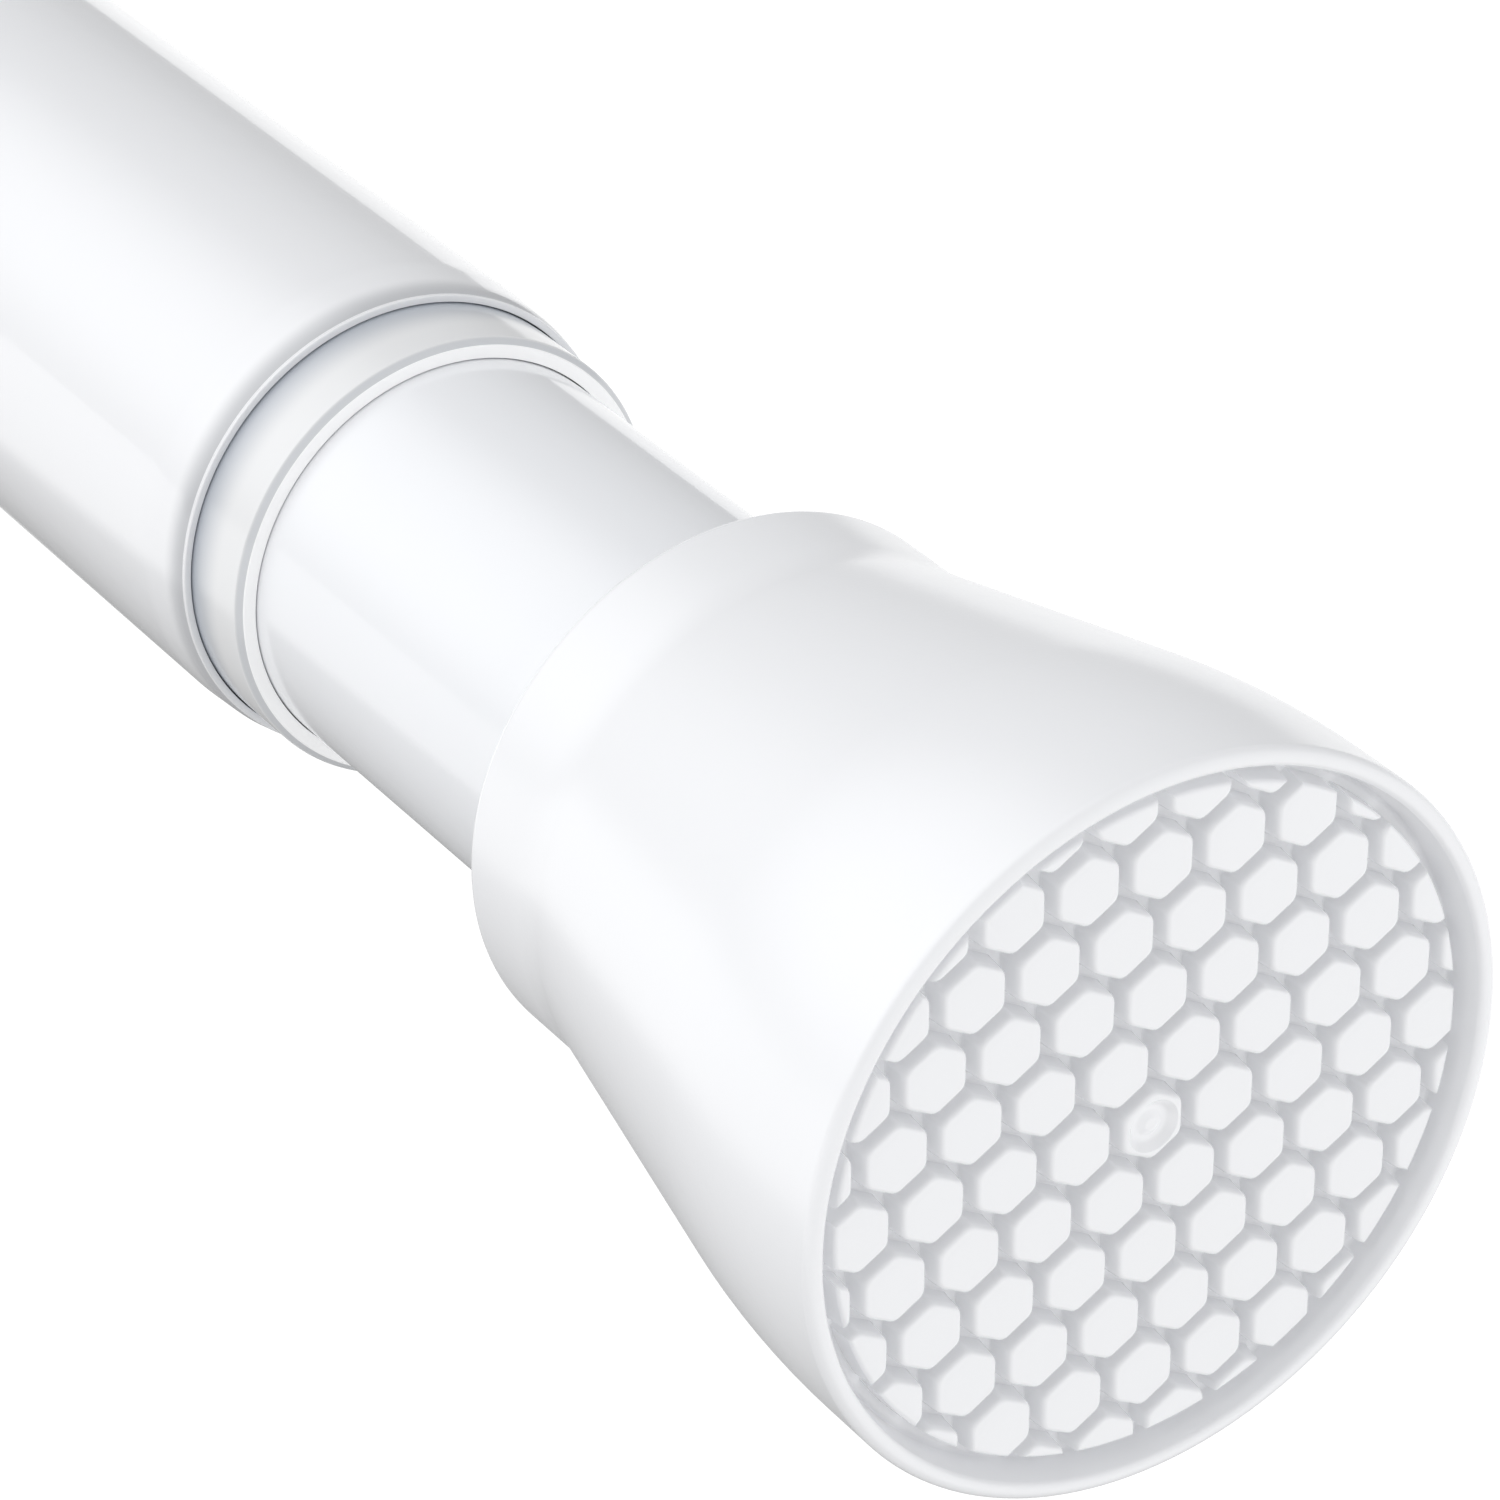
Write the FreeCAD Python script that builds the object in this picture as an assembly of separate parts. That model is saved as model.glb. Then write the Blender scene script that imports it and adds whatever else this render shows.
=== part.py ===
import FreeCAD, Part
import math
import os

# Spring tension rod, in millimetres.
# Two white tubes telescope along X. A soft flared cap with a honeycomb pad closes each end.
# Inside, a twist lock rides in the wide tube and a spring pushes the narrow tube out of it.
# The origin is the centre of the wide tube's pad, in the plane where its rim meets the wall.
# The model is drawn fully telescoped. Depths and lengths run along X, radii from the rod's axis.
# Edges that the mould leaves rounded are drawn as narrow bevels, to keep the facets few.

# Overall lengths
closed_length = 406.4
spring_travel = 20.0
closed_gap = 2.15

# Tubes
outer_tube_d = 22.2
outer_tube_wall = 0.6
inner_tube_wall = 0.6
tube_step = 3.2
lip_length = 2.9
lip_roll = 0.22
lip_edge = 0.25

# Collar in the mouth of the wide tube
collar_nose = 4.0
collar_depth = 24.0
collar_clearance = 0.28
collar_bevel = 0.55

# Grip caps
cap_wall = 1.25
cap_flare = 3.7
cap_length = 30.1
cap_band = 7.1
cap_neck = 4.7
cap_floor = 7.0
socket_clearance = 0.03

# Honeycomb pad
rim_land = 0.45
rim_bevel = 0.3
pad_recess = 0.6
pad_moat = 0.86
boss_pitch = 3.343
boss_top_flat = 2.47
boss_base_flat = 2.85
boss_height = 1.2
recess_draft = 0.15
smallest_boss = 0.35
gate_dimple_d = 1.2
gate_dimple_depth = 0.3

# End plugs
plug_flange = 1.5
plug_depth = 10.0
plug_rib = 1.8
plug_clearance = 0.05

# Twist lock. Its gap to the plug sets how far the rod draws out: 203.2 here, with 40 left in the tube.
lock_gap = 11.95
eccentricity = 1.5
cam_clearance = 0.8
cam_length = 17.4
cam_pin_d = 10.0
cam_groove_count = 6
cam_groove_width = 1.6
cam_groove_depth = 0.6
bearing_clearance = 0.05
end_play = 0.3
shoulder_thickness = 3.0
shoulder_clearance = 0.4
hub_d = 12.6
hub_length = 13.0
journal_d = 8.0
guide_length = 5.9
guide_clearance = 0.3
guide_notch_count = 3
guide_notch_width = 5.0
guide_notch_depth = 3.0

# Stem and stop
stem_flat = 8.0
stem_clearance = 0.15
stem_socket = 12.0
stem_thread_d = 6.0
stem_thread_length = 8.0
bush_length = 16.0
bush_flange = 1.5
nut_flat = 11.0
nut_height = 5.0

# Screw that keeps the guide disc on
screw_d = 4.0
screw_length = 13.0
screw_head_d = 9.2
screw_head_height = 2.5
screw_slot_width = 1.2
screw_slot_depth = 1.1
hole_clearance = 0.05

# Spring
spring_length = 45.0
spring_wire_d = 1.6
spring_turns = 6
spring_hub_gap = 0.5
runs_per_turn = 12
wire_sides = 6

# Radii that follow from the sizes above
outer_r = outer_tube_d / 2
outer_bore_r = outer_r - outer_tube_wall
inner_r = outer_r - tube_step / 2
inner_bore_r = inner_r - inner_tube_wall
collar_bore_r = inner_r + collar_clearance
collar_r = outer_bore_r - plug_clearance
neck_r = outer_r + cap_wall
cap_r = neck_r + cap_flare
pad_r = cap_r - rim_bevel - rim_land
field_r = pad_r - pad_moat
hub_r = hub_d / 2
cam_pin_r = cam_pin_d / 2
cam_r = outer_bore_r - cam_clearance
shoulder_r = outer_bore_r - shoulder_clearance
guide_r = outer_bore_r - guide_clearance
journal_r = journal_d / 2
spring_r = hub_r + spring_hub_gap + spring_wire_d / 2

# Places along X that follow from the sizes above
collar_front_x = closed_length - cap_length - closed_gap - spring_travel
mouth_x = collar_front_x - collar_nose
outer_tube_x = cap_floor + plug_flange
inner_tube_end_x = closed_length - cap_floor - plug_flange
screw_x = outer_tube_x + plug_depth + lock_gap
journal_x = screw_x + screw_head_height
guide_x = journal_x + end_play
neck_x = guide_x + guide_length + end_play
cam_x = neck_x + end_play
shoulder_x = cam_x + cam_length + end_play
shoulder_end_x = shoulder_x + shoulder_thickness
bush_x = shoulder_end_x + spring_length
inner_tube_x = bush_x + bush_flange
bush_end_x = inner_tube_x + bush_length
hub_end_x = shoulder_end_x + hub_length
stem_x = hub_end_x - stem_socket
stop_x = bush_end_x + end_play
stem_end_x = stop_x + stem_thread_length

AXIS = FreeCAD.Vector(1, 0, 0)
ORIGIN = FreeCAD.Vector(0, 0, 0)


def turned(outline):
    """A solid turned about the rod's axis from its half outline, a list of x and radius."""
    points = [FreeCAD.Vector(x, 0, r) for x, r in outline]
    return polygon_face(points).revolve(ORIGIN, AXIS, 360)


def polygon_face(points):
    return Part.Face(Part.makePolygon(points + points[:1]))


def closed_solid(faces):
    """A solid from the faces that close it, turned right side out."""
    solid = Part.Solid(Part.Shell(faces))
    if solid.Volume < 0:
        solid.reverse()
    return solid


def rod(x, length, radius, z=0.0):
    """A cylinder along X."""
    return Part.makeCylinder(radius, length, FreeCAD.Vector(x, 0, z), AXIS)


def bar(x, length, width, z_low, z_high):
    """A box along X, centred on the plane y = 0."""
    box = Part.makeBox(length, width, z_high - z_low)
    box.translate(FreeCAD.Vector(x, -width / 2, z_low))
    return box


def round_the_axis(shape, count):
    """Copies of a shape at equal turns round the rod's axis."""
    copies = []
    for k in range(count):
        copy = shape.copy()
        copy.rotate(ORIGIN, AXIS, 360 * k / count)
        copies.append(copy)
    return copies


def hexagon(x, flat, y=0.0, z=0.0):
    """The six corners of a hexagon across X, two of its flats facing along Y."""
    reach = flat / math.sqrt(3)
    turns = [math.radians(30 + 60 * k) for k in range(6)]
    return [FreeCAD.Vector(x, y + reach * math.cos(a), z + reach * math.sin(a)) for a in turns]


def skin(rings):
    """A solid with flat sides through rings of the same number of points."""
    faces = [polygon_face(rings[0]), polygon_face(rings[-1])]
    for low, high in zip(rings, rings[1:]):
        for k in range(len(low)):
            n = (k + 1) % len(low)
            faces.append(polygon_face([low[k], low[n], high[n], high[k]]))
    return closed_solid(faces)


def hexagon_bar(x, length, flat):
    return skin([hexagon(x, flat), hexagon(x + length, flat)])


def at_far_end(shape):
    """Turn a piece of the wide tube's end round to the narrow tube's end."""
    turned_round = shape.copy()
    turned_round.rotate(ORIGIN, FreeCAD.Vector(0, 0, 1), 180)
    turned_round.translate(FreeCAD.Vector(closed_length, 0, 0))
    return turned_round


def boss_centres():
    """Centres of the honeycomb, in rows along Y, out to the smallest part boss worth moulding."""
    reach = int(field_r / boss_pitch) + 2
    centres = []
    for row in range(-reach, reach + 1):
        z = row * boss_pitch * math.sqrt(3) / 2
        for column in range(-reach, reach + 1):
            y = (column + (row % 2) / 2) * boss_pitch
            if math.hypot(y, z) < field_r + boss_top_flat / 2 - smallest_boss:
                centres.append((y, z))
    return centres


def honeycomb():
    """The drafted bosses of one pad, trimmed to a round field with a moat between it and the rim."""
    floor_x = pad_recess + boss_height
    field = rod(pad_recess, boss_height, field_r)
    bosses = []
    for y, z in boss_centres():
        boss = skin([hexagon(floor_x, boss_base_flat, y, z), hexagon(pad_recess, boss_top_flat, y, z)])
        if math.hypot(y, z) + boss_base_flat / math.sqrt(3) > field_r:
            boss = boss.common(field)
        bosses.append(boss)
    return bosses


def cap_body():
    """The cap without its socket: rim, band, flare and neck, with the honeycomb in its face."""
    floor_x = pad_recess + boss_height
    body = turned([
        (floor_x, 0),
        (floor_x, pad_r - recess_draft),
        (0, pad_r),
        (0, pad_r + rim_land),
        (rim_bevel, cap_r),
        (cap_band, cap_r),
        (cap_length - cap_neck, neck_r),
        (cap_length, neck_r),
        (cap_length, 0),
    ])
    body = body.multiFuse(honeycomb()).removeSplitter()
    return body.cut(rod(pad_recess - 1, 1 + gate_dimple_depth, gate_dimple_d / 2))


def grip_cap(body, tube_r):
    """A cap with the blind socket that grips one of the tubes."""
    return body.cut(rod(cap_floor, cap_length, tube_r + socket_clearance))


def end_plug(tube_r, bore_r):
    """A flanged plug with crossed ribs, so that the tube's edge can't cut through the cap."""
    core_r = bore_r - plug_clearance
    flange = rod(cap_floor, plug_flange, tube_r)
    rib = bar(outer_tube_x, plug_depth, plug_rib, -2 * core_r, 2 * core_r)
    ribs = round_the_axis(rib, 4)[0:2]
    cross = ribs[0].fuse(ribs[1]).common(rod(outer_tube_x, plug_depth, core_r))
    return flange.fuse(cross).removeSplitter()


def outer_tube():
    """The wide tube, its mouth rolled down thinner on to the collar."""
    return turned([
        (outer_tube_x, outer_bore_r),
        (outer_tube_x, outer_r),
        (mouth_x - lip_length, outer_r),
        (mouth_x - lip_edge, outer_r - lip_roll),
        (mouth_x, outer_r - lip_roll - lip_edge),
        (mouth_x, outer_bore_r),
    ])


def mouth_collar():
    """The clear collar that guides the narrow tube: a sleeve in the mouth, its nose outside."""
    return turned([
        (mouth_x - collar_depth, collar_bore_r),
        (mouth_x - collar_depth, collar_r),
        (collar_front_x - collar_bevel, collar_r),
        (collar_front_x, collar_r - collar_bevel),
        (collar_front_x, collar_bore_r),
    ])


def inner_tube():
    """The narrow tube, plain from end to end."""
    return turned([
        (inner_tube_x, inner_bore_r),
        (inner_tube_x, inner_r),
        (inner_tube_end_x, inner_r),
        (inner_tube_end_x, inner_bore_r),
    ])


def guide_bush():
    """The bush that the stem slides through and turns with, flanged over the tube's hidden end."""
    body_r = inner_bore_r - plug_clearance
    bush = turned([
        (bush_x, 0),
        (bush_x, inner_r),
        (inner_tube_x, inner_r),
        (inner_tube_x, body_r),
        (bush_end_x, body_r),
        (bush_end_x, 0),
    ])
    return bush.cut(hexagon_bar(bush_x - 1, bush_length + bush_flange + 2, stem_flat + 2 * stem_clearance))


def lock_spindle():
    """The moulded core of the lock: journal, eccentric pin, shoulder and hub, on one screw."""
    journal = rod(journal_x, neck_x - journal_x, journal_r)
    pin = rod(neck_x, shoulder_x - neck_x, cam_pin_r, z=-eccentricity)
    shoulder = rod(shoulder_x, shoulder_thickness, shoulder_r)
    hub = rod(shoulder_end_x, hub_length, hub_r)
    core = journal.multiFuse([pin, shoulder, hub]).removeSplitter()
    core = core.cut(hexagon_bar(stem_x, stem_socket + 1, stem_flat + 2 * hole_clearance))
    return core.cut(rod(journal_x - 1, screw_length + 1, screw_d / 2 + hole_clearance))


def stem():
    """The hexagonal steel stem, set in the hub and turned down for a thread at its free end."""
    shank = hexagon_bar(stem_x, stop_x - stem_x, stem_flat)
    thread = rod(stop_x, stem_end_x - stop_x, stem_thread_d / 2)
    return shank.fuse(thread)


def cam_ring():
    """The ring that jams in the tube: its bore is as far off centre as the spindle's pin."""
    cam = rod(cam_x, cam_length, cam_r)
    cam = cam.cut(rod(cam_x - 1, cam_length + 2, cam_pin_r + bearing_clearance, z=-eccentricity))
    groove = bar(cam_x - 1, cam_length + 2, cam_groove_width, cam_r - cam_groove_depth, cam_r + 1)
    return cam.cut(round_the_axis(groove, cam_groove_count))


def guide_disc():
    """The follower that keeps the lock central and slides along the tube without turning."""
    disc = rod(guide_x, guide_length, guide_r)
    disc = disc.cut(rod(guide_x - 1, guide_length + 2, journal_r + bearing_clearance))
    notch = bar(guide_x - 1, guide_length + 2, guide_notch_width, guide_r - guide_notch_depth, guide_r + 1)
    return disc.cut(round_the_axis(notch, guide_notch_count))


def guide_screw():
    """The slotted screw that keeps the guide disc on the spindle."""
    head = rod(screw_x, screw_head_height, screw_head_d / 2)
    shank = rod(journal_x, screw_length - 1, screw_d / 2)
    slot = bar(screw_x, screw_slot_depth, screw_slot_width, -screw_head_d, screw_head_d)
    return head.fuse(shank).cut(slot)


def stop_nut():
    """The nut on the stem's thread. It stops the narrow tube from being pushed off the stem."""
    nut = hexagon_bar(stop_x, nut_height, nut_flat)
    return nut.cut(rod(stop_x - 1, nut_height + 2, stem_thread_d / 2 + hole_clearance))


def spring():
    """The compression spring: a helix of short straight runs, mitred where they meet."""
    wire_r = spring_wire_d / 2
    start_x = shoulder_end_x + hole_clearance + wire_r
    rise = spring_length - spring_wire_d - 2 * hole_clearance
    runs = runs_per_turn * spring_turns
    centres = []
    for k in range(runs + 1):
        turn = 2 * math.pi * k / runs_per_turn
        centres.append(FreeCAD.Vector(start_x + rise * k / runs,
                                      spring_r * math.cos(turn), spring_r * math.sin(turn)))
    along = centres[1] - centres[0]
    outward = FreeCAD.Vector(0, 1, 0)
    across = along.cross(outward).normalize()
    outward = across.cross(along).normalize()
    section = []
    for j in range(wire_sides):
        angle = 2 * math.pi * (j + 0.5) / wire_sides
        section.append(centres[0] + outward * (wire_r * math.cos(angle)) + across * (wire_r * math.sin(angle)))
    path = Part.makePolygon(centres)
    return path.makePipeShell([Part.makePolygon(section + section[:1])], True, False, 1)


def export(node, shape):
    shape.exportStep("parts/" + node + ".step")


def main():
    os.makedirs("parts", exist_ok=True)
    body = cap_body()
    export("outer_end_cap", grip_cap(body, outer_r))
    export("outer_end_plug", end_plug(outer_r, outer_bore_r))
    export("outer_tube", outer_tube())
    export("mouth_collar", mouth_collar())
    export("inner_end_cap", at_far_end(grip_cap(body, inner_r)))
    export("inner_end_plug", at_far_end(end_plug(inner_r, inner_bore_r)))
    export("inner_tube", inner_tube())
    export("guide_bush", guide_bush())
    export("guide_disc", guide_disc())
    export("lock_spindle", lock_spindle())
    export("cam_ring", cam_ring())
    export("stem", stem())
    export("stop_nut", stop_nut())
    export("guide_screw", guide_screw())
    export("spring", spring())


main()
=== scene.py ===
import math

import bmesh
import bpy
from mathutils import Matrix, Vector


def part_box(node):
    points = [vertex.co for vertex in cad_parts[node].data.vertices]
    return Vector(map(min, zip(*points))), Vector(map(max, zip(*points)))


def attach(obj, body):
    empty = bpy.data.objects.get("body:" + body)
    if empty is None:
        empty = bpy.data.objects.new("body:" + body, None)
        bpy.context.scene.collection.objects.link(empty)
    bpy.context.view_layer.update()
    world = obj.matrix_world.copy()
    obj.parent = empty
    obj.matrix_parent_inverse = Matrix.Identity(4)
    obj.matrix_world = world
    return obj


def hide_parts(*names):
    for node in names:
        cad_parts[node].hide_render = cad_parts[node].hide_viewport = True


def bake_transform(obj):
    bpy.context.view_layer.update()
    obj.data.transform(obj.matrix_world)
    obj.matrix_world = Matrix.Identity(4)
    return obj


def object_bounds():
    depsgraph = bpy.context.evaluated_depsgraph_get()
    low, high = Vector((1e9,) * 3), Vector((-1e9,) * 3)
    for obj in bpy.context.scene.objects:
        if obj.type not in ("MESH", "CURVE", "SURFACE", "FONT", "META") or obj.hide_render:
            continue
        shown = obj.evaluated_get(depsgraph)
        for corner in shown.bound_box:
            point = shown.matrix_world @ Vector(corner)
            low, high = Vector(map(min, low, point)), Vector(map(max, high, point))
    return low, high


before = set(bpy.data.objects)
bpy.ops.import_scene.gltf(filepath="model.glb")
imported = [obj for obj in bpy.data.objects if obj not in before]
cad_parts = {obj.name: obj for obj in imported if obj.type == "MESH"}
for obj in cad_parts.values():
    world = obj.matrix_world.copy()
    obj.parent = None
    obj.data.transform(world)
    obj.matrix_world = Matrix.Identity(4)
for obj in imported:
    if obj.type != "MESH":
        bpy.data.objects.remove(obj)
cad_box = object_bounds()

# Spring tension rod. Metres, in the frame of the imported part: X runs along the rod.
MM = 0.001

# Sizes that the frame gives
CLOSED_LENGTH = cad_box[1].x - cad_box[0].x
CAP_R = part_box("inner_end_cap")[1].z
CAP_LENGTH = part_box("outer_end_cap")[1].x
TUBE_START_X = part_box("outer_tube")[0].x
MOUTH_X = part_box("outer_tube")[1].x
OUTER_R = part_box("outer_tube")[1].z
COLLAR_START_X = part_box("mouth_collar")[0].x
COLLAR_FRONT_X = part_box("mouth_collar")[1].x
COLLAR_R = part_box("mouth_collar")[1].z
INNER_START_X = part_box("inner_tube")[0].x
INNER_END_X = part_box("inner_tube")[1].x
INNER_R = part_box("inner_tube")[1].z

# Tubes
WALL = 0.6 * MM
TUBE_EDGE = 0.15 * MM
BORE_EDGE = 0.05 * MM

# Mouth of the wide tube, from the start of its roll to its bead
LIP_LENGTH = 2.9 * MM
LIP_ROLL = 0.22 * MM
LIP_BEAD = 0.07 * MM
ROLL_START_ROUNDING = 12 * MM
ROLL_END = 0.5 * MM
ROLL_END_ROUNDING = 1.6 * MM
CREASE_DEPTH = 0.11 * MM
CREASE_ROUNDING = 0.02 * MM
BEAD_BACK_DEPTH = 0.03 * MM
BEAD_FRONT_DEPTH = 0.06 * MM
FINE_EDGE = 0.04 * MM

# Clear collar
COLLAR_CLEARANCE = 0.05 * MM
COLLAR_BEVEL = 0.32 * MM
COLLAR_BEVEL_ROUNDING = 0.12 * MM
COLLAR_BACK_ROUNDING = 0.2 * MM
COLLAR_BACK_BORE_EDGE = 0.1 * MM
BEVEL_X = COLLAR_FRONT_X - COLLAR_BEVEL

# Grip cap
NECK_R = 12.35 * MM
NECK_LENGTH = 4.7 * MM
BAND = 7.1 * MM
CROWN_ROUNDING = 40 * MM
THROAT_ROUNDING = 9 * MM
BACK_ROUNDING = 0.45 * MM
RIM_WIDTH = 0.75 * MM
SOCKET_FLOOR = 1.5 * MM
SOCKET_FLOOR_X = TUBE_START_X - SOCKET_FLOOR
SOCKET_EDGE = 0.2 * MM
SOCKET_CLEARANCE = 0.03 * MM

# Honeycomb pad
PAD_R = CAP_R - RIM_WIDTH
GROOVE_WIDTH = 0.86 * MM
FIELD_R = PAD_R - GROOVE_WIDTH
PAD_RECESS = 0.6 * MM
RIM_ROUNDING = 0.45 * MM
CREST_ROUNDING = 0.3 * MM
GROOVE_DRAFT = 0.32 * MM
GROOVE_ROUNDING = 0.25 * MM
PITCH = 3.343 * MM
BOSS_TOP = 2.47 * MM
BOSS_BASE = 2.85 * MM
BOSS_HEIGHT = 1.2 * MM
PAD_FLOOR_X = PAD_RECESS + BOSS_HEIGHT
SMALLEST_BOSS = 0.35 * MM
DISH_R = 1.14 * MM
DISH_DEPTH = 0.33 * MM
DISH_CORNER = 0.2 * MM

# A boss from its top edge to its foot: place along the rod, width over its flats, rounding of its corners
BOSS_LEVELS = (
    (PAD_RECESS, BOSS_TOP - 0.12 * MM, 0.37 * MM),
    (PAD_RECESS + 0.012 * MM, BOSS_TOP + 0.02 * MM, 0.4 * MM),
    (PAD_RECESS + 0.045 * MM, BOSS_TOP + 0.13 * MM, 0.43 * MM),
    (PAD_RECESS + 0.1 * MM, BOSS_TOP + 0.215 * MM, 0.45 * MM),
    (PAD_RECESS + 0.19 * MM, BOSS_TOP + 0.275 * MM, 0.46 * MM),
    (PAD_RECESS + 0.36 * MM, BOSS_TOP + 0.325 * MM, 0.46 * MM),
    (PAD_FLOOR_X - 0.2 * MM, BOSS_BASE + 0.02 * MM, 0.46 * MM),
    (PAD_FLOOR_X - 0.04 * MM, BOSS_BASE + 0.08 * MM, 0.48 * MM),
    (PAD_FLOOR_X + 0.03 * MM, BOSS_BASE + 0.26 * MM, 0.5 * MM),
)

# Trim of the bosses at the field's edge
TRIM_TOP_X = PAD_RECESS + 0.004 * MM
TRIM_FOOT_X = PAD_RECESS + 1.1 * BOSS_HEIGHT
TRIM_DRAFT = 0.1 * MM
TRIM_ROUNDING = 0.2 * MM

# Spring
SPRING_WIRE_R = 0.8 * MM
SPRING_TURNS = 6
STEPS_PER_TURN = 40

# Divisions round a turned form, and the angles in degrees above which an edge is shaded sharp
AROUND_WIDE = 256
AROUND_NARROW = 224
AROUND_CAP = 192
AROUND_DISH = 48
AROUND_WIRE = 12
SHARP_ANGLE = 32
CAP_SHARP_ANGLE = 34
SPRING_SHARP_ANGLE = 40
ON_AXIS = 1e-9
WELD = 1e-7

# Inputs and output of a colour mix node
MIX_FACTOR = 0
MIX_FIRST = 6
MIX_SECOND = 7
MIX_RESULT = 2

# Uneven colour: the tone of the darker patches, and the usual share of the plain colour
PATCH_TONE = 0.93
PLAIN_SHARE = 0.85

# Camera
CAMERA_FROM_PAD = Vector((152.64, -118.31, 133.23)) * MM
CAMERA_AZIMUTH = math.radians(56.73)
CAMERA_ELEVATION = math.radians(31.22)
CAMERA_LENS = 149.2
SENSOR_WIDTH = 36
NEAR_CLIP = 0.01
FAR_CLIP = 50

# Light. A window's edge runs between two cosines of the angle from its middle.
SIDE_WINDOW = Vector((-0.394, -0.54, 0.744)).normalized()
SIDE_EDGE = (0.6, 0.96)
SIDE_LIGHT = 1.48
FRONT_WINDOW = Vector((0.908, 0.418, 0.019)).normalized()
FRONT_EDGE = (0.52, 0.82)
FRONT_LIGHT = 0.8
TOWARD_CAMERA = CAMERA_FROM_PAD.normalized()
CAMERA_EDGE = (0.3, 0.95)
CAMERA_LIGHT = 0.06
TENT_LIGHT = 0.35
TENT_COLOUR = (0.985, 0.99, 1.0, 1)

# Floor. Its glow on the part holds a painted shadow of the rod: low within the shadow's edge and full beyond
# it.
FLOOR_Z = -0.16
FLOOR_SIZE = 6
FLOOR_COLOUR = (0.1, 0.1, 0.1, 1)
FLOOR_LIGHT = 1.05
PAINTED_SHADOW_CENTRE = Vector((0.3, -0.05, FLOOR_Z))
PAINTED_SHADOW_EDGE = (0.2, 0.27)
PAINTED_SHADOW_LIGHT = 0.25


# Outlines and meshes

def arc_points(before, corner, after, rounding, steps):
    """Points on the rounding of one corner of an outline."""
    to_before = (before - corner).normalized()
    to_after = (after - corner).normalized()
    half = to_before.angle(to_after) / 2
    reach = rounding / math.tan(half)
    centre = corner + (to_before + to_after).normalized() * (rounding / math.sin(half))
    start = corner + to_before * reach - centre
    sweep = (start.x * (corner + to_after * reach - centre).y
             - start.y * (corner + to_after * reach - centre).x)
    turn = math.copysign(math.pi - 2 * half, sweep)
    points = []
    for k in range(steps + 1):
        a = turn * k / steps
        points.append(centre + Vector((start.x * math.cos(a) - start.y * math.sin(a),
                                       start.x * math.sin(a) + start.y * math.cos(a))))
    return points


def rounded(corners, steps=6):
    """An outline of x and radius. Each corner has its x, its radius and its rounding."""
    places = [Vector((x, r)) for x, r, _ in corners]
    outline = []
    for i, (_, _, rounding) in enumerate(corners):
        if rounding > 0:
            outline += arc_points(places[i - 1], places[i], places[(i + 1) % len(places)], rounding, steps)
        else:
            outline.append(places[i])
    return outline


def turned_mesh(outline, around):
    """A closed skin turned about the rod's axis. Points on the axis become one vertex."""
    work = bmesh.new()
    rings = []
    for point in outline:
        if point.y < ON_AXIS:
            rings.append([work.verts.new((point.x, 0, 0))] * around)
            continue
        ring = []
        for k in range(around):
            a = 2 * math.pi * k / around
            ring.append(work.verts.new((point.x, point.y * math.cos(a), point.y * math.sin(a))))
        rings.append(ring)
    for i in range(len(rings)):
        here, following = rings[i], rings[(i + 1) % len(rings)]
        for k in range(around):
            n = (k + 1) % around
            corners = []
            for vert in (here[k], here[n], following[n], following[k]):
                if vert not in corners:
                    corners.append(vert)
            if len(corners) > 2:
                work.faces.new(corners)
    bmesh.ops.recalc_face_normals(work, faces=work.faces)
    return work


def add_piece(name, work, material, body, replaced, sharp=SHARP_ANGLE):
    """Turn a bmesh into a piece that rides on a body, or that stays where it is made when given no body's
    name.
    """
    mesh = bpy.data.meshes.new(name)
    work.to_mesh(mesh)
    work.free()
    piece = bpy.data.objects.new(name, mesh)
    bpy.context.scene.collection.objects.link(piece)
    mesh.materials.append(material)
    finish_shading(mesh, sharp)
    if isinstance(body, str):
        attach(piece, body)
    else:
        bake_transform(piece)
    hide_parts(replaced)
    return piece


def finish_shading(mesh, sharp):
    """Smooth shading, broken at edges sharper than an angle."""
    for polygon in mesh.polygons:
        polygon.use_smooth = True
    mesh.set_sharp_from_angle(angle=math.radians(sharp))


# Materials

def new_group(name, inputs, outputs):
    """A shader node group with named sockets. Inputs are name, type and default."""
    group = bpy.data.node_groups.new(name, "ShaderNodeTree")
    for socket, kind, value in inputs:
        made = group.interface.new_socket(socket, in_out="INPUT", socket_type=kind)
        made.default_value = value
    for socket, kind in outputs:
        group.interface.new_socket(socket, in_out="OUTPUT", socket_type=kind)
    return group, group.nodes.new("NodeGroupInput"), group.nodes.new("NodeGroupOutput")


def noise(tree, detail, coordinates, scale):
    """A noise whose scale comes from a socket."""
    node = tree.nodes.new("ShaderNodeTexNoise")
    node.inputs["Detail"].default_value = detail
    tree.links.new(coordinates, node.inputs["Vector"])
    tree.links.new(scale, node.inputs["Scale"])
    return node.outputs["Fac"]


def math_node(tree, operation, first, second):
    """One sum on two values. Each is a number or a socket."""
    node = tree.nodes.new("ShaderNodeMath")
    node.operation = operation
    for i, value in enumerate((first, second)):
        if isinstance(value, (int, float)):
            node.inputs[i].default_value = value
        else:
            tree.links.new(value, node.inputs[i])
    return node.outputs[0]


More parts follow.
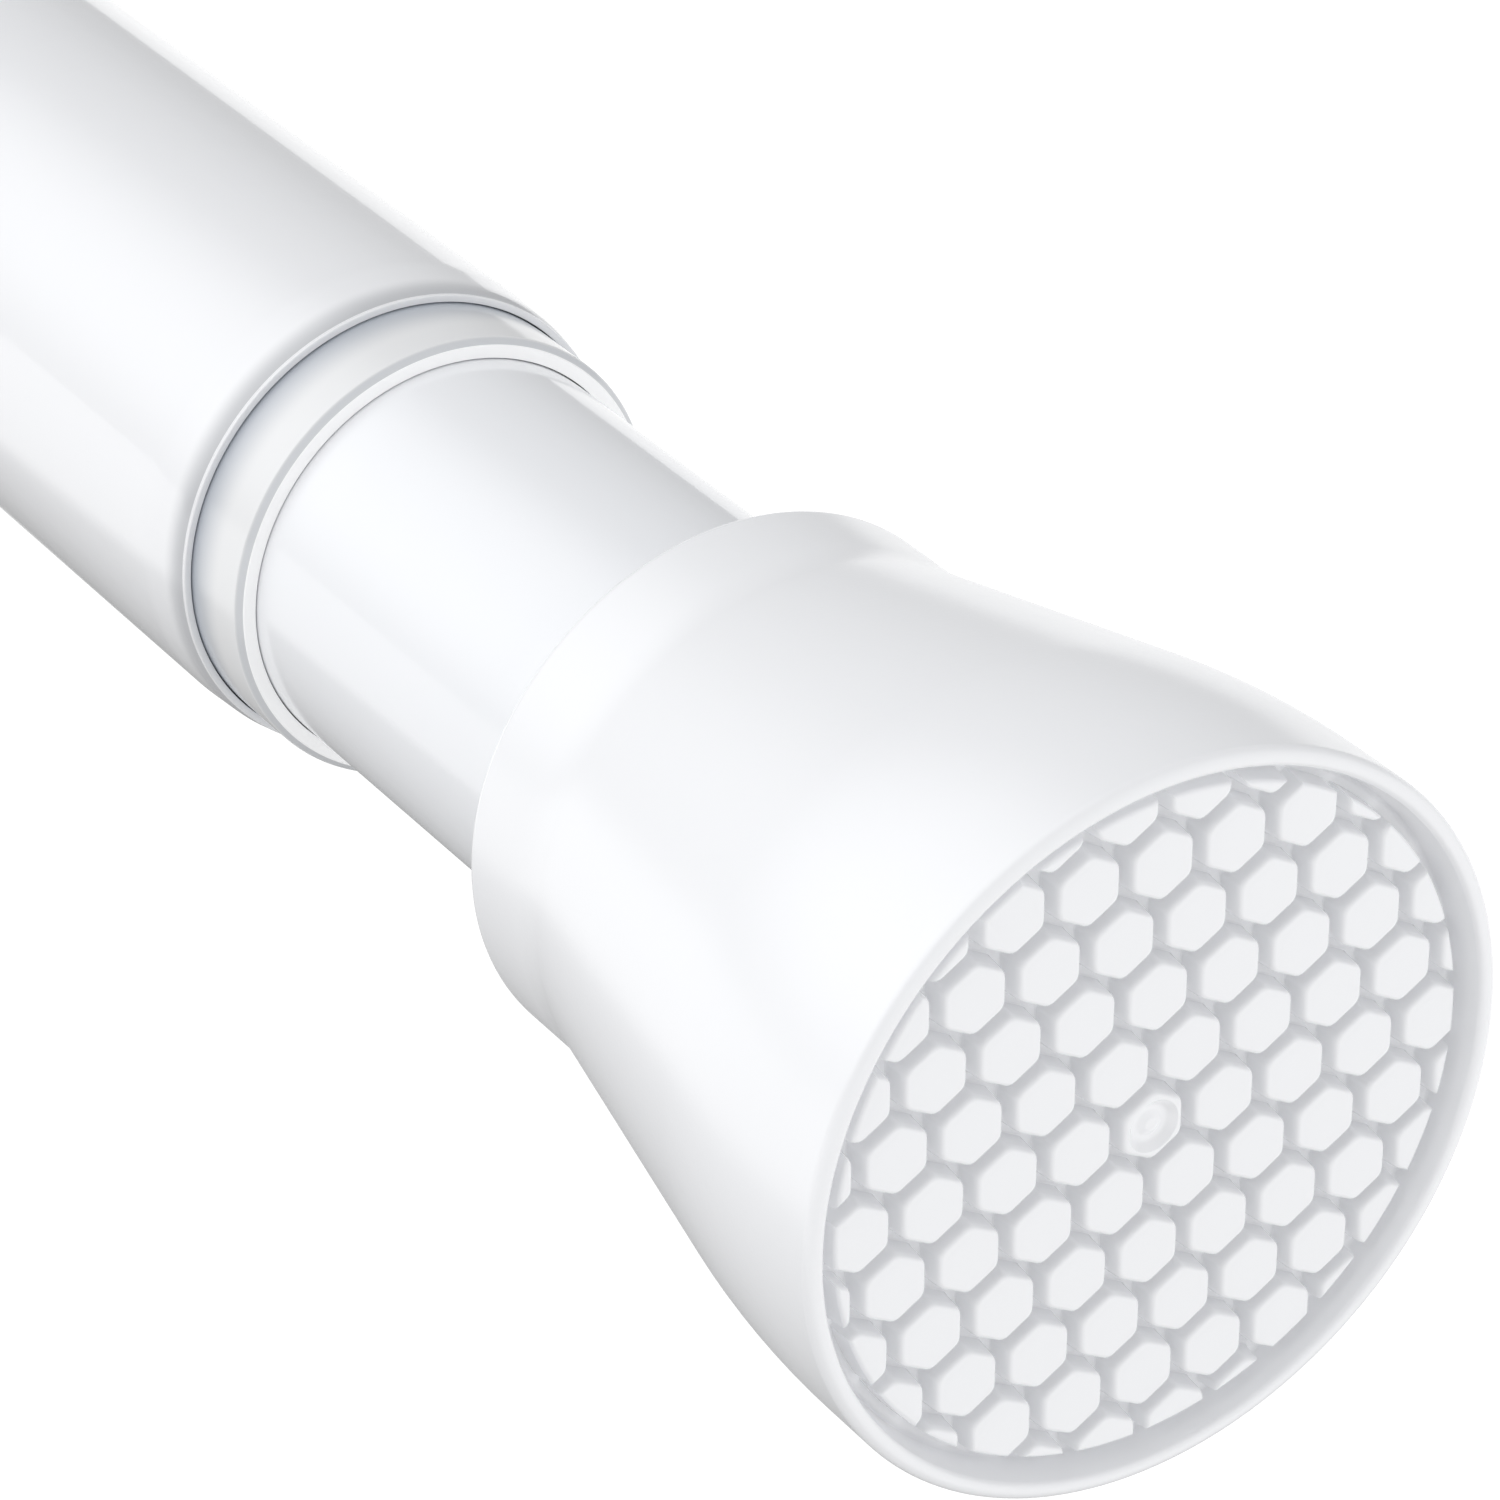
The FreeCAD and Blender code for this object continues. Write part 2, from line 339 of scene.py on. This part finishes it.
def build_surface_ripple():
    """Low soft waves over a fine grain: the skin of sprayed paint or of a moulding."""
    group, given, result = new_group(
        "surface ripple",
        [("Wave Scale", "NodeSocketFloat", 900.0), ("Grain Scale", "NodeSocketFloat", 6000.0),
         ("Grain Share", "NodeSocketFloat", 0.2)],
        [("Height", "NodeSocketFloat")])
    place = group.nodes.new("ShaderNodeTexCoord")
    wave = noise(group, 1.5, place.outputs["Object"], given.outputs["Wave Scale"])
    grain = noise(group, 2, place.outputs["Object"], given.outputs["Grain Scale"])
    share = math_node(group, "MULTIPLY", grain, given.outputs["Grain Share"])
    height = math_node(group, "ADD", wave, share)
    group.links.new(height, result.inputs["Height"])
    return group


def build_patches():
    """Slight uneven patches, as a mask round zero."""
    group, given, result = new_group(
        "uneven patches",
        [("Patch Scale", "NodeSocketFloat", 60.0), ("Strength", "NodeSocketFloat", 0.05)],
        [("Shift", "NodeSocketFloat")])
    place = group.nodes.new("ShaderNodeTexCoord")
    patch = noise(group, 3, place.outputs["Object"], given.outputs["Patch Scale"])
    centred = math_node(group, "SUBTRACT", patch, 0.5)
    group.links.new(math_node(group, "MULTIPLY", centred, given.outputs["Strength"]), result.inputs["Shift"])
    return group


def build_painted_shade_and_glow_mask():
    """A mask along the rod for painted shade and painted glow. It rises from one place to another and stops
    at its end.
    """
    group, given, result = new_group(
        "painted shade and glow mask",
        [("From", "NodeSocketFloat", 0.0), ("To", "NodeSocketFloat", 1.0), ("End", "NodeSocketFloat", 1.0),
         ("Shade", "NodeSocketFloat", 0.5)],
        [("Factor", "NodeSocketFloat")])
    place = group.nodes.new("ShaderNodeTexCoord")
    apart = group.nodes.new("ShaderNodeSeparateXYZ")
    group.links.new(place.outputs["Object"], apart.inputs["Vector"])
    ramp = group.nodes.new("ShaderNodeMapRange")
    ramp.interpolation_type = "SMOOTHSTEP"
    group.links.new(apart.outputs["X"], ramp.inputs["Value"])
    group.links.new(given.outputs["From"], ramp.inputs["From Min"])
    group.links.new(given.outputs["To"], ramp.inputs["From Max"])
    inside = math_node(group, "LESS_THAN", apart.outputs["X"], given.outputs["End"])
    depth = math_node(group, "MULTIPLY", ramp.outputs["Result"], given.outputs["Shade"])
    group.links.new(math_node(group, "MULTIPLY", depth, inside), result.inputs["Factor"])
    return group


def place_group(tree, group, values):
    """A group in a material, with its inputs set."""
    node = tree.nodes.new("ShaderNodeGroup")
    node.node_tree = group
    for socket, value in values.items():
        node.inputs[socket].default_value = value
    return node


def finish_material(name, colour, roughness, ripple, bump, patches, extra=None, painted_shades=(), glow=None):
    """One finish: its colour varies a little, its roughness too, and its skin has a fine relief.

    The bump is its strength and distance. A painted shade is a darker colour and where it lies along the rod,
    and the glow is painted light where the finish shines.
    """
    material = bpy.data.materials.new(name)
    material.use_nodes = True
    tree = material.node_tree
    shader = tree.nodes["Principled BSDF"]
    for socket, value in (extra or {}).items():
        shader.inputs[socket].default_value = value
    shift = place_group(tree, GROUPS["patches"], patches)
    tint = tree.nodes.new("ShaderNodeMix")
    tint.data_type = "RGBA"
    tint.inputs[MIX_FIRST].default_value = (*[c * PATCH_TONE for c in colour], 1)
    tint.inputs[MIX_SECOND].default_value = (*colour, 1)
    amount = math_node(tree, "ADD", shift.outputs["Shift"], PLAIN_SHARE)
    tree.links.new(amount, tint.inputs[MIX_FACTOR])
    coloured = tint.outputs[MIX_RESULT]
    # Painted shade: each shade darkens the colour along the rod.
    for painted_shade_colour, reach in painted_shades:
        painted_shade_mix = tree.nodes.new("ShaderNodeMix")
        painted_shade_mix.data_type = "RGBA"
        painted_shade_mix.inputs[MIX_SECOND].default_value = (*painted_shade_colour, 1)
        tree.links.new(place_group(tree, GROUPS["shade"], reach).outputs["Factor"], painted_shade_mix.inputs[MIX_FACTOR])
        tree.links.new(coloured, painted_shade_mix.inputs[MIX_FIRST])
        coloured = painted_shade_mix.outputs[MIX_RESULT]
    # Painted light: the glow mask feeds the emission.
    if glow:
        lit = place_group(tree, GROUPS["shade"], glow)
        tree.links.new(lit.outputs["Factor"], shader.inputs["Emission Color"])
    tree.links.new(coloured, shader.inputs["Base Color"])
    rough = math_node(tree, "ADD", shift.outputs["Shift"], roughness)
    tree.links.new(rough, shader.inputs["Roughness"])
    skin = place_group(tree, GROUPS["ripple"], ripple)
    relief = tree.nodes.new("ShaderNodeBump")
    relief.inputs["Strength"].default_value = bump[0]
    relief.inputs["Distance"].default_value = bump[1]
    tree.links.new(skin.outputs["Height"], relief.inputs["Height"])
    tree.links.new(relief.outputs["Normal"], shader.inputs["Normal"])
    return material


GROUPS = {"ripple": build_surface_ripple(), "patches": build_patches(), "shade": build_painted_shade_and_glow_mask()}

PAINT = finish_material(
    "white gloss paint", (0.93, 0.935, 0.95), 0.2,
    {"Wave Scale": 420.0, "Grain Scale": 2600.0, "Grain Share": 0.15}, (0.25, 0.00006),
    {"Patch Scale": 45.0, "Strength": 0.06},
    {"Coat Weight": 0.6, "Coat Roughness": 0.04, "Specular IOR Level": 0.25},
    # Painted shade: the paint darkens towards the crease just behind the mouth's bead.
    [((0.27, 0.28, 0.3), {"From": MOUTH_X - 1.6 * MM, "To": MOUTH_X - 0.3 * MM,
                          "End": MOUTH_X - 0.24 * MM, "Shade": 0.5})])
INNER_PAINT = finish_material(
    "smooth gloss paint", (0.93, 0.94, 0.96), 0.17,
    {"Wave Scale": 260.0, "Grain Scale": 2200.0, "Grain Share": 0.1}, (0.15, 0.00004),
    {"Patch Scale": 40.0, "Strength": 0.06},
    {"Coat Weight": 0.6, "Coat Roughness": 0.03, "Specular IOR Level": 0.25})
RUBBER = finish_material(
    "white satin rubber", (0.945, 0.95, 0.965), 0.22,
    {"Wave Scale": 500.0, "Grain Scale": 5200.0, "Grain Share": 0.5}, (0.12, 0.00004),
    {"Patch Scale": 70.0, "Strength": 0.05}, {"Specular IOR Level": 0.65})
CLEAR = finish_material(
    "milky clear plastic", (0.97, 0.975, 0.98), 0.12,
    {"Wave Scale": 300.0, "Grain Scale": 2500.0, "Grain Share": 0.1}, (0.1, 0.00003),
    {"Patch Scale": 80.0, "Strength": 0.06}, {"Transmission Weight": 0.12, "IOR": 1.49,
                                             # Painted light: strength of the front face's glow.
                                             "Emission Strength": 0.22},
    # Painted shade: the collar turns bluish dark towards the tube's mouth.
    [((0.5, 0.54, 0.6), {"From": MOUTH_X + 2.3 * MM, "To": MOUTH_X - 0.4 * MM, "End": 1.0, "Shade": 1.0}),
     # Painted shade: a grey band on the nose's bevel.
     ((0.75, 0.77, 0.8), {"From": BEVEL_X - 0.02 * MM, "To": BEVEL_X + 0.1 * MM,
                          "End": COLLAR_FRONT_X - 0.04 * MM, "Shade": 0.8})],
    # Painted light: the collar's front face glows.
    {"From": COLLAR_FRONT_X - 0.06 * MM, "To": COLLAR_FRONT_X - 0.02 * MM, "End": 1.0, "Shade": 1.0})
NYLON = finish_material(
    "natural nylon", (0.78, 0.76, 0.7), 0.45,
    {"Wave Scale": 350.0, "Grain Scale": 3000.0, "Grain Share": 0.4}, (0.2, 0.00005),
    {"Patch Scale": 90.0, "Strength": 0.12})
PLUG_PLASTIC = finish_material(
    "grey white moulded plastic", (0.8, 0.8, 0.8), 0.4,
    {"Wave Scale": 320.0, "Grain Scale": 2600.0, "Grain Share": 0.4}, (0.2, 0.00005),
    {"Patch Scale": 90.0, "Strength": 0.12})
ZINC = finish_material(
    "bright zinc plate", (0.62, 0.63, 0.65), 0.3,
    {"Wave Scale": 800.0, "Grain Scale": 6000.0, "Grain Share": 0.5}, (0.2, 0.00003),
    {"Patch Scale": 200.0, "Strength": 0.2}, {"Metallic": 1.0})
SPRING_STEEL = finish_material(
    "drawn spring wire", (0.42, 0.42, 0.44), 0.33,
    {"Wave Scale": 1500.0, "Grain Scale": 9000.0, "Grain Share": 0.6}, (0.25, 0.00003),
    {"Patch Scale": 300.0, "Strength": 0.2}, {"Metallic": 1.0})


# Pieces

def wide_tube():
    """The wide tube. Its mouth is rolled down on to the collar and ends in a round edge."""
    bore = OUTER_R - WALL
    lip_r = OUTER_R - LIP_ROLL
    outline = rounded([
        (TUBE_START_X, bore, 0),
        (TUBE_START_X, OUTER_R, TUBE_EDGE),
        (MOUTH_X - LIP_LENGTH, OUTER_R, ROLL_START_ROUNDING),
        (MOUTH_X - ROLL_END, lip_r + LIP_BEAD, ROLL_END_ROUNDING),
        (MOUTH_X - 2.4 * LIP_BEAD, lip_r - CREASE_DEPTH, CREASE_ROUNDING),
        (MOUTH_X - 1.6 * LIP_BEAD, lip_r - BEAD_BACK_DEPTH, FINE_EDGE),
        (MOUTH_X, lip_r - BEAD_FRONT_DEPTH, LIP_BEAD),
        (MOUTH_X, bore, FINE_EDGE),
    ])
    add_piece("painted_outer_tube", turned_mesh(outline, AROUND_WIDE), PAINT, "outer_rod",
              "outer_tube")


def narrow_tube():
    """The narrow tube, plain, with its edges broken."""
    bore = INNER_R - WALL
    outline = rounded([
        (INNER_START_X, bore, BORE_EDGE),
        (INNER_START_X, INNER_R, TUBE_EDGE),
        (INNER_END_X, INNER_R, TUBE_EDGE),
        (INNER_END_X, bore, BORE_EDGE),
    ])
    add_piece("painted_inner_tube", turned_mesh(outline, AROUND_NARROW), INNER_PAINT, "inner_rod",
              "inner_tube")


def clear_collar():
    """The collar: a sleeve inside the mouth, with a bevelled nose outside it."""
    bore = INNER_R + COLLAR_CLEARANCE
    outline = rounded([
        (COLLAR_START_X, bore, COLLAR_BACK_BORE_EDGE),
        (COLLAR_START_X, COLLAR_R, COLLAR_BACK_ROUNDING),
        (BEVEL_X, COLLAR_R, COLLAR_BEVEL_ROUNDING),
        (COLLAR_FRONT_X, COLLAR_R - COLLAR_BEVEL, BORE_EDGE),
        (COLLAR_FRONT_X, bore, BORE_EDGE),
    ])
    add_piece("clear_mouth_collar", turned_mesh(outline, AROUND_WIDE), CLEAR, "outer_rod",
              "mouth_collar")


def cap_outline(socket_r):
    """Half outline of a cap at the wide tube's end, from the pad's centre round to the socket."""
    return rounded([
        (PAD_FLOOR_X, 0, 0),
        (PAD_FLOOR_X, PAD_R - GROOVE_DRAFT, GROOVE_ROUNDING),
        (0, PAD_R, CREST_ROUNDING),
        (0, CAP_R, RIM_ROUNDING),
        (BAND, CAP_R, CROWN_ROUNDING),
        (CAP_LENGTH - NECK_LENGTH, NECK_R, THROAT_ROUNDING),
        (CAP_LENGTH, NECK_R, BACK_ROUNDING),
        (CAP_LENGTH, socket_r, SOCKET_EDGE),
        (SOCKET_FLOOR_X, socket_r, 0),
        (SOCKET_FLOOR_X, 0, 0),
    ], 8)


def hexagon_ring(flat, corner):
    """A hexagon with two flats facing along Y, its corners rounded, as Y and Z."""
    ring = []
    reach = flat / math.sqrt(3)
    for k in range(6):
        middle = math.radians(30 + 60 * k)
        centre_reach = reach - corner / math.cos(math.radians(30))
        for turn in (-30, -10, 10, 30):
            a = middle + math.radians(turn)
            ring.append((centre_reach * math.cos(middle) + corner * math.cos(a),
                         centre_reach * math.sin(middle) + corner * math.sin(a)))
    return ring


def boss_mesh(work, y, z):
    """One boss of the honeycomb: soft top edge, drafted flanks, and a fillet into the floor."""
    rings = []
    for x, flat, corner in BOSS_LEVELS:
        rings.append([work.verts.new((x, y + dy, z + dz)) for dy, dz in hexagon_ring(flat, corner)])
    for here, following in zip(rings, rings[1:]):
        for k in range(len(here)):
            n = (k + 1) % len(here)
            work.faces.new((here[k], following[k], following[n], here[n]))
    work.faces.new(rings[0])
    work.faces.new(list(reversed(rings[-1])))


def boss_centres():
    """The places of the bosses, in rows along Y, as far as their tops reach into the field."""
    reach = int(PAD_R / PITCH) + 2
    for row in range(-reach, reach + 1):
        z = row * PITCH * math.sqrt(3) / 2
        for column in range(-reach, reach + 1):
            y = (column + (row % 2) / 2) * PITCH
            if math.hypot(y, z) < FIELD_R + BOSS_TOP / 2 - SMALLEST_BOSS:
                yield y, z


def loose_object(name, work):
    """A helper object for a boolean cut. It is deleted afterwards."""
    bmesh.ops.recalc_face_normals(work, faces=work.faces)
    mesh = bpy.data.meshes.new(name)
    work.to_mesh(mesh)
    work.free()
    helper = bpy.data.objects.new(name, mesh)
    bpy.context.scene.collection.objects.link(helper)
    return helper


def combine(target, other, operation):
    """Apply one exact boolean to a helper object and delete the other."""
    cut = target.modifiers.new("cut", "BOOLEAN")
    cut.operation = operation
    cut.solver = "EXACT"
    cut.object = other
    bpy.context.view_layer.update()
    graph = bpy.context.evaluated_depsgraph_get()
    made = bpy.data.meshes.new_from_object(target.evaluated_get(graph))
    target.modifiers.clear()
    target.data = made
    bpy.data.objects.remove(other)


def pad_field():
    """All the bosses of a pad. The outer ones are trimmed round, with a soft top edge."""
    whole = bmesh.new()
    partial = bmesh.new()
    for y, z in boss_centres():
        crosses = math.hypot(y, z) + BOSS_BASE / math.sqrt(3) > FIELD_R - TRIM_DRAFT
        boss_mesh(partial if crosses else whole, y, z)
    whole_bosses = loose_object("whole bosses", whole)
    cut_bosses = loose_object("cut bosses", partial)
    trim = turned_mesh(rounded([
        (TRIM_TOP_X, 0, 0), (TRIM_TOP_X, FIELD_R, TRIM_ROUNDING),
        (TRIM_FOOT_X, FIELD_R + TRIM_DRAFT, 0), (TRIM_FOOT_X, 0, 0),
    ], 4), AROUND_CAP)
    combine(cut_bosses, loose_object("trim", trim), "INTERSECT")
    return whole_bosses, cut_bosses


def gate_dish():
    """The shallow dish that the mould's gate leaves in the middle boss, with a low nub in it."""
    above_x = PAD_RECESS - 0.3 * MM
    bottom_x = PAD_RECESS + DISH_DEPTH
    nub_x = PAD_RECESS + DISH_DEPTH * 0.45
    hollow = rounded([
        (above_x, 0, 0),
        (above_x, DISH_R * 1.3, 0),
        (PAD_RECESS, DISH_R, 0),
        (bottom_x, DISH_R * 0.72, DISH_CORNER + 0.05 * MM),
        (bottom_x, DISH_R * 0.5, DISH_CORNER),
        (nub_x, DISH_R * 0.24, DISH_CORNER),
        (nub_x, 0, 0),
    ], 5)
    return loose_object("gate dish", turned_mesh(hollow, AROUND_DISH))


def grip_cap(name, socket_r, body, replaced, far_end):
    """A flared cap with its honeycomb pad, as one closed skin."""
    shell = loose_object("cap shell", turned_mesh(cap_outline(socket_r), AROUND_CAP))
    whole, partial = pad_field()
    combine(shell, whole, "UNION")
    combine(shell, partial, "UNION")
    combine(shell, gate_dish(), "DIFFERENCE")
    work = bmesh.new()
    work.from_mesh(shell.data)
    bpy.data.objects.remove(shell)
    bmesh.ops.remove_doubles(work, verts=work.verts, dist=WELD)
    if far_end:
        turn_round = Matrix.Translation((CLOSED_LENGTH, 0, 0)) @ Matrix.Rotation(math.pi, 4, "Z")
        bmesh.ops.transform(work, matrix=turn_round, verts=work.verts)
    piece = add_piece(name, work, RUBBER, body, replaced, CAP_SHARP_ANGLE)
    even = piece.modifiers.new("even shading", "WEIGHTED_NORMAL")
    even.keep_sharp = True


def coil_spring():
    """The compression spring, made where the part has it and left there."""
    low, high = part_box("spring")
    coil_r = high.z - SPRING_WIRE_R
    steps = SPRING_TURNS * STEPS_PER_TURN
    turn = math.tau / STEPS_PER_TURN
    rise = (high.x - low.x - 2 * SPRING_WIRE_R) / steps
    work = bmesh.new()
    rings = []
    for k in range(steps + 1):
        a = math.tau * SPRING_TURNS * k / steps
        outward = Vector((0, math.cos(a), math.sin(a)))
        along = Vector((rise, -coil_r * math.sin(a) * turn, coil_r * math.cos(a) * turn))
        across = along.normalized().cross(outward)
        centre = Vector((low.x + SPRING_WIRE_R + rise * k, 0, 0)) + outward * coil_r
        rings.append([work.verts.new(centre + (outward * math.cos(b) + across * math.sin(b)) * SPRING_WIRE_R)
                      for b in (math.tau * j / AROUND_WIRE for j in range(AROUND_WIRE))])
    for here, following in zip(rings, rings[1:]):
        for j in range(AROUND_WIRE):
            n = (j + 1) % AROUND_WIRE
            work.faces.new((here[j], here[n], following[n], following[j]))
    work.faces.new(list(reversed(rings[0])))
    work.faces.new(rings[-1])
    bmesh.ops.recalc_face_normals(work, faces=work.faces)
    stretch = ("spindle", "inner_rod", (low.x, 0, 0), (high.x, 0, 0))
    add_piece("wire_spring", work, SPRING_STEEL, stretch, "spring", SPRING_SHARP_ANGLE)


def dress_hidden_nodes():
    """The pieces inside the tubes keep their CAD form and get their finishes."""
    finishes = {
        "outer_end_plug": PLUG_PLASTIC, "inner_end_plug": PLUG_PLASTIC,
        "guide_bush": NYLON, "guide_disc": NYLON, "lock_spindle": NYLON, "cam_ring": NYLON,
        "stem": ZINC, "stop_nut": ZINC, "guide_screw": ZINC,
    }
    for node, material in finishes.items():
        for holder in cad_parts[node].material_slots:
            holder.material = material


# Studio

def soft_edge(tree, value, low, high, start, end):
    """A smooth step of a value between two limits."""
    node = tree.nodes.new("ShaderNodeMapRange")
    node.interpolation_type = "SMOOTHSTEP"
    tree.links.new(value, node.inputs["Value"])
    for socket, number in (("From Min", low), ("From Max", high), ("To Min", start), ("To Max", end)):
        node.inputs[socket].default_value = number
    return node.outputs["Result"]


def white_to_camera(tree, light):
    """At least full white where the camera sees it. The part gets the light itself."""
    path = tree.nodes.new("ShaderNodeLightPath")
    return math_node(tree, "MAXIMUM", light, path.outputs["Is Camera Ray"])


def studio_floor():
    """A plain white floor. Its light on the part is lower under the rod: a painted shadow of the rod."""
    work = bmesh.new()
    bmesh.ops.create_grid(work, x_segments=1, y_segments=1, size=FLOOR_SIZE)
    mesh = bpy.data.meshes.new("floor")
    work.to_mesh(mesh)
    work.free()
    floor = bpy.data.objects.new("floor", mesh)
    floor.location = (CLOSED_LENGTH / 2, 0, FLOOR_Z)
    bpy.context.scene.collection.objects.link(floor)
    material = bpy.data.materials.new("pale floor")
    material.use_nodes = True
    tree = material.node_tree
    shader = tree.nodes["Principled BSDF"]
    shader.inputs["Base Color"].default_value = FLOOR_COLOUR
    shader.inputs["Roughness"].default_value = 1
    shader.inputs["Specular IOR Level"].default_value = 0
    shader.inputs["Emission Color"].default_value = (1, 1, 1, 1)
    # Painted shadow: the floor's glow drops near the place under the rod.
    away = tree.nodes.new("ShaderNodeVectorMath")
    away.operation = "DISTANCE"
    tree.links.new(tree.nodes.new("ShaderNodeNewGeometry").outputs["Position"], away.inputs[0])
    away.inputs[1].default_value = PAINTED_SHADOW_CENTRE
    glow = soft_edge(tree, away.outputs["Value"], *PAINTED_SHADOW_EDGE, PAINTED_SHADOW_LIGHT, FLOOR_LIGHT)
    tree.links.new(white_to_camera(tree, glow), shader.inputs["Emission Strength"])
    mesh.materials.append(material)


def window(tree, direction, target, edge, strength):
    """Light from a soft round window in one direction."""
    toward = tree.nodes.new("ShaderNodeVectorMath")
    toward.operation = "DOT_PRODUCT"
    tree.links.new(direction, toward.inputs[0])
    toward.inputs[1].default_value = target
    return soft_edge(tree, toward.outputs["Value"], *edge, 0.0, strength)


def studio_light():
    """A light tent: a bright window beside the tubes, a dimmer one before the pad, a faint camera side."""
    world = bpy.data.worlds.new("light tent")
    bpy.context.scene.world = world
    world.use_nodes = True
    tree = world.node_tree
    background = tree.nodes["Background"]
    direction = tree.nodes.new("ShaderNodeTexCoord").outputs["Generated"]
    side = window(tree, direction, SIDE_WINDOW, SIDE_EDGE, SIDE_LIGHT)
    front = window(tree, direction, FRONT_WINDOW, FRONT_EDGE, FRONT_LIGHT)
    camera_side = window(tree, direction, TOWARD_CAMERA, CAMERA_EDGE, CAMERA_LIGHT)
    light = math_node(tree, "ADD", math_node(tree, "ADD", side, front), camera_side)
    light = math_node(tree, "ADD", light, TENT_LIGHT)
    tree.links.new(white_to_camera(tree, light), background.inputs["Strength"])
    background.inputs["Color"].default_value = TENT_COLOUR


def photo_camera():
    """The camera that took the photo, as fitted to the pad and the tubes."""
    camera_data = bpy.data.cameras.new("camera")
    camera_data.lens = CAMERA_LENS
    camera_data.sensor_width = SENSOR_WIDTH
    camera_data.clip_start = NEAR_CLIP
    camera_data.clip_end = FAR_CLIP
    camera = bpy.data.objects.new("camera", camera_data)
    pad_centre = Vector((CLOSED_LENGTH - PAD_RECESS, 0, 0))
    camera.location = pad_centre + CAMERA_FROM_PAD
    camera.rotation_euler = (math.pi / 2 - CAMERA_ELEVATION, 0, CAMERA_AZIMUTH)
    bpy.context.scene.collection.objects.link(camera)
    bpy.context.scene.camera = camera


wide_tube()
narrow_tube()
clear_collar()
grip_cap("soft_outer_cap", OUTER_R + SOCKET_CLEARANCE, "outer_rod", "outer_end_cap", False)
grip_cap("soft_inner_cap", INNER_R + SOCKET_CLEARANCE, "inner_rod", "inner_end_cap", True)
coil_spring()
dress_hidden_nodes()
studio_floor()
studio_light()
photo_camera()
bpy.context.scene.view_settings.view_transform = "Standard"
